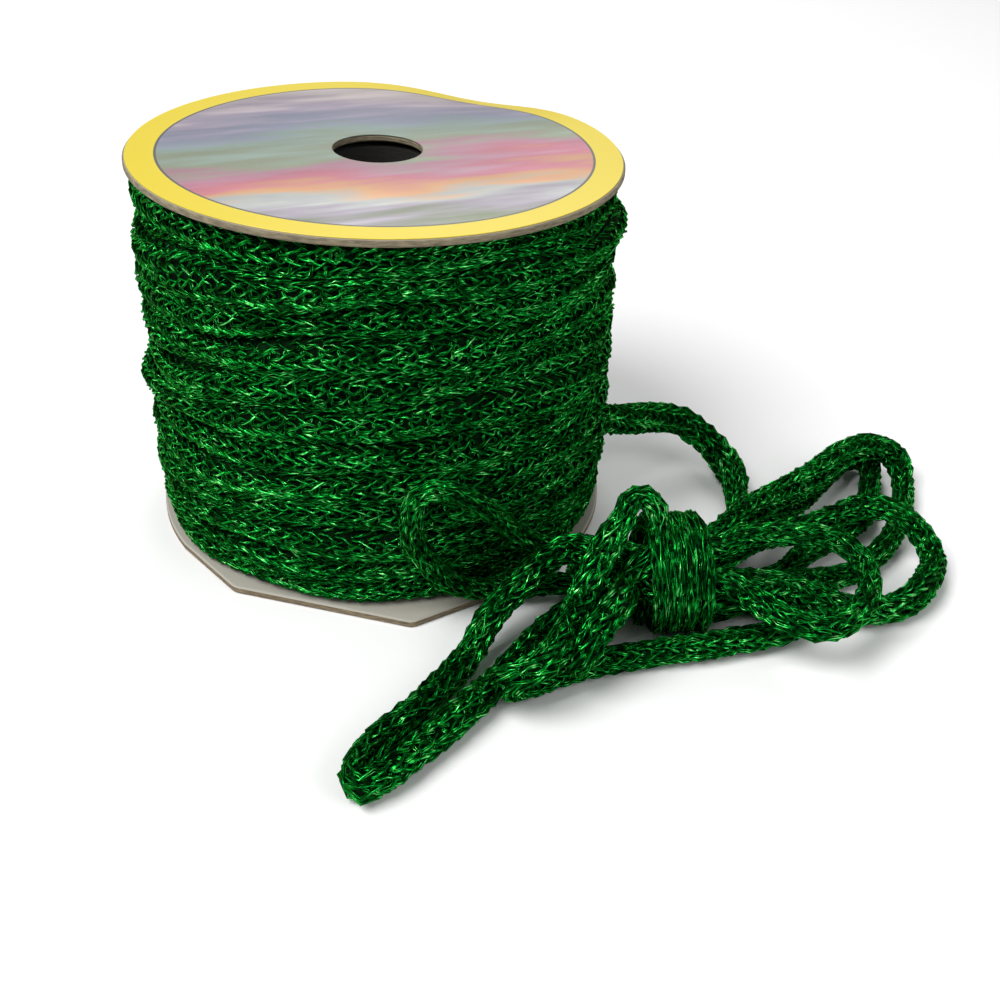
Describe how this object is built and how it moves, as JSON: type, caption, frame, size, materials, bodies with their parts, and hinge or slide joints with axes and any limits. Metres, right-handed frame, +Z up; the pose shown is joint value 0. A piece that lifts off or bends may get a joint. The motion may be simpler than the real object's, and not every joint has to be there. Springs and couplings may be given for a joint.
{
  "type": "spool of knitted metallic cord",
  "caption": "Card spool wound with knitted metallic cord in uneven turns; the loose end arcs down and lies beside it as a bound hank of open loops.",
  "frame": {"origin": "on the surface, on the axis of the spool, under the middle of the lower board", "axes": "+Z up along the spool's axis; +X is the side where the loose end leaves the roll; the bound hank lies towards +X and -Y"},
  "size_m": [0.1585, 0.1397, 0.0752],
  "materials": {
    "greyboard": "matt grey recycled board",
    "paper_tube": "matt dark paper",
    "printed_disc": "satin coated paper, yellow ring round soft watercolour bands",
    "cord": "knitted metallic yarn with small bright glints"
  },
  "bodies": {
    "root": {"flange_top": "greyboard", "flange_bottom": "greyboard", "core": "paper_tube", "label": "printed_disc", "roll": "cord", "lead": "cord", "hank": "cord"}
  },
  "joints": []
}
